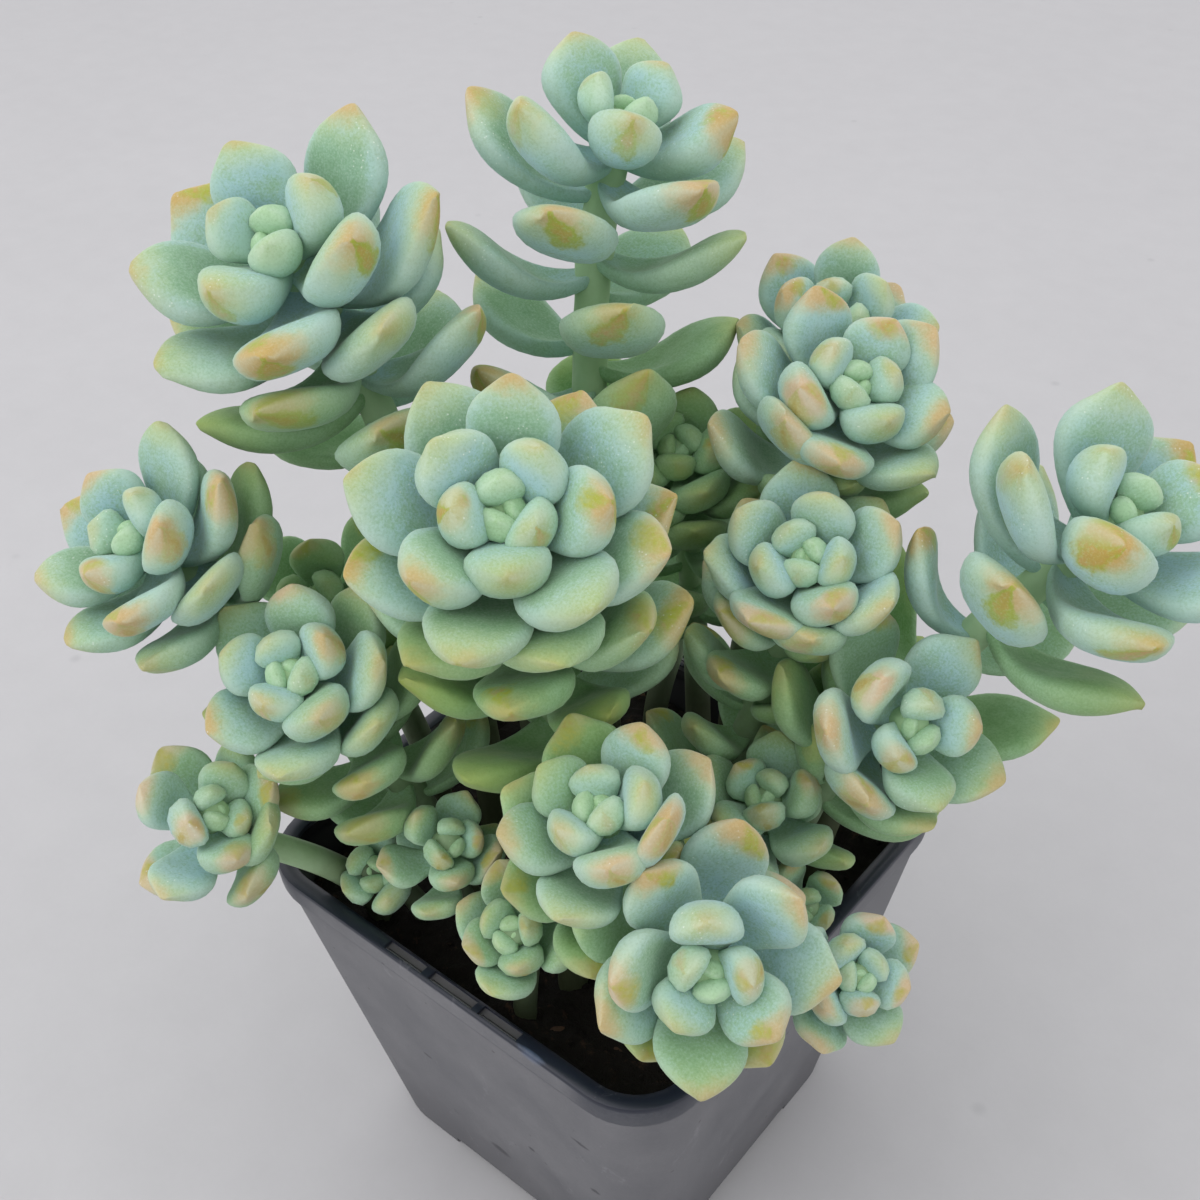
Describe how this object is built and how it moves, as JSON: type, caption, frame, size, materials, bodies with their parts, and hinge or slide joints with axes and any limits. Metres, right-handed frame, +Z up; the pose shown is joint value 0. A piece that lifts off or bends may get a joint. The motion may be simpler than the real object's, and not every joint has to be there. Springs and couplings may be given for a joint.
{
  "type": "potted sedum",
  "caption": "Clump of blue-green sedum rosettes on fleshy stems in a small square dark plastic nursery pot.",
  "frame": {"origin": "centre of the pot's underside, on the surface that it stands on", "axes": "+Z up; +X and +Y square to two neighbouring sides of the pot; the picture looks from between +X and -Y"},
  "size_m": [0.1618, 0.1448, 0.1949],
  "materials": {
    "pot": "satin",
    "soil": "matte",
    "leaf": "matte"
  },
  "bodies": {
    "root": {"pot": "pot", "soil": "soil", "leafy_stem_01": "leaf", "leafy_stem_02": "leaf", "leafy_stem_03": "leaf", "leafy_stem_04": "leaf", "leafy_stem_05": "leaf", "leafy_stem_06": "leaf", "leafy_stem_07": "leaf", "leafy_stem_08": "leaf", "leafy_stem_09": "leaf", "leafy_stem_10": "leaf", "leafy_stem_11": "leaf", "leafy_stem_12": "leaf", "leafy_stem_13": "leaf", "leafy_stem_14": "leaf", "leafy_stem_15": "leaf", "leafy_stem_16": "leaf", "leafy_stem_17": "leaf", "leafy_stem_18": "leaf", "leafy_stem_19": "leaf", "leafy_stem_20": "leaf", "leafy_stem_21": "leaf", "leafy_stem_22": "leaf", "leafy_stem_23": "leaf", "leafy_stem_24": "leaf"}
  },
  "joints": []
}
